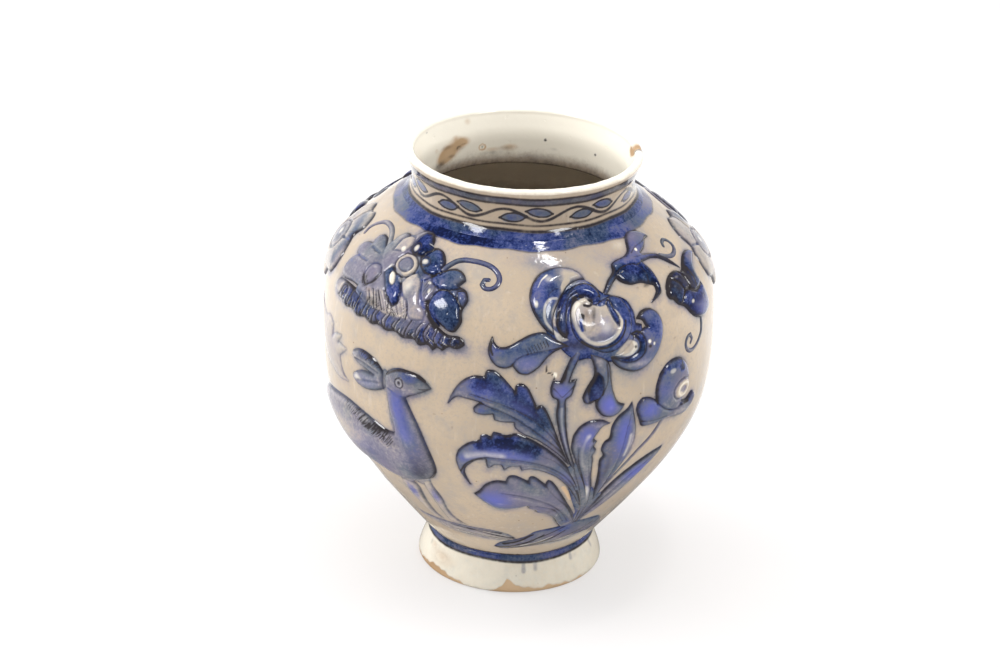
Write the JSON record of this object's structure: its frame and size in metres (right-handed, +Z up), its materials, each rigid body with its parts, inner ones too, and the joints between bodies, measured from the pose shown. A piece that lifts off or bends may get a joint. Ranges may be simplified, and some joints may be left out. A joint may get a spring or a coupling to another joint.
{
  "type": "relief pottery jar",
  "caption": "Round-bellied glazed pottery jar on a flared foot with a short lipped neck, and applied relief of gazelles, flowers and leaves in cobalt blue.",
  "frame": {"origin": "on the table, at the centre of the foot ring's underside", "axes": "+Z up along the jar's axis, front of the frieze towards -Y"},
  "size_m": [0.2076, 0.2114, 0.235],
  "materials": {
    "ground_glaze": "clear glossy glaze over warm grey-beige slip, with specks and blue bleeding round the relief",
    "pale_glaze": "off-white glossy glaze with bare clay where it has worn or missed",
    "cobalt_glaze": "cobalt blue under clear glossy glaze, with dark outlines and white touches"
  },
  "bodies": {
    "root": {"back_bloom_centre_curl": "cobalt_glaze", "back_bloom_cup": "cobalt_glaze", "back_bloom_left_curl": "cobalt_glaze", "back_bud_spray": "cobalt_glaze", "back_fall_left": "cobalt_glaze", "back_fall_lower": "cobalt_glaze", "back_fall_right": "cobalt_glaze", "back_gazelle_body": "cobalt_glaze", "back_gazelle_ears": "cobalt_glaze", "back_gazelle_foreleg": "cobalt_glaze", "back_gazelle_hind_legs": "cobalt_glaze", "back_gazelle_rear_foreleg": "cobalt_glaze", "back_hanging_bud": "cobalt_glaze", "back_iris_stem": "cobalt_glaze", "back_leaf_blade": "cobalt_glaze", "back_leaf_inner": "cobalt_glaze", "back_leaf_lower": "cobalt_glaze", "back_leaf_middle": "cobalt_glaze", "back_leaf_outer": "cobalt_glaze", "back_leaf_upper": "cobalt_glaze", "back_lotus_crown": "cobalt_glaze", "back_lotus_eye": "cobalt_glaze", "back_lotus_frill": "cobalt_glaze", "back_lotus_left_wing": "cobalt_glaze", "back_lotus_right_wing": "cobalt_glaze", "back_peony_bloom": "cobalt_glaze", "back_side_bud": "cobalt_glaze", "foot_ring": "pale_glaze", "front_bloom_centre_curl": "cobalt_glaze", "front_bloom_cup": "cobalt_glaze", "front_bloom_left_curl": "cobalt_glaze", "front_bud_spray": "cobalt_glaze", "front_fall_left": "cobalt_glaze", "front_fall_lower": "cobalt_glaze", "front_fall_right": "cobalt_glaze", "front_gazelle_body": "cobalt_glaze", "front_gazelle_ears": "cobalt_glaze", "front_gazelle_foreleg": "cobalt_glaze", "front_gazelle_hind_legs": "cobalt_glaze", "front_gazelle_rear_foreleg": "cobalt_glaze", "front_hanging_bud": "cobalt_glaze", "front_iris_stem": "cobalt_glaze", "front_leaf_blade": "cobalt_glaze", "front_leaf_inner": "cobalt_glaze", "front_leaf_lower": "cobalt_glaze", "front_leaf_middle": "cobalt_glaze", "front_leaf_outer": "cobalt_glaze", "front_leaf_upper": "cobalt_glaze", "front_lotus_crown": "cobalt_glaze", "front_lotus_eye": "cobalt_glaze", "front_lotus_frill": "cobalt_glaze", "front_lotus_left_wing": "cobalt_glaze", "front_lotus_right_wing": "cobalt_glaze", "front_peony_bloom": "cobalt_glaze", "front_side_bud": "cobalt_glaze", "lower_bowl": "ground_glaze", "neck_collar": "pale_glaze", "shoulder_shell": "ground_glaze"}
  },
  "joints": []
}
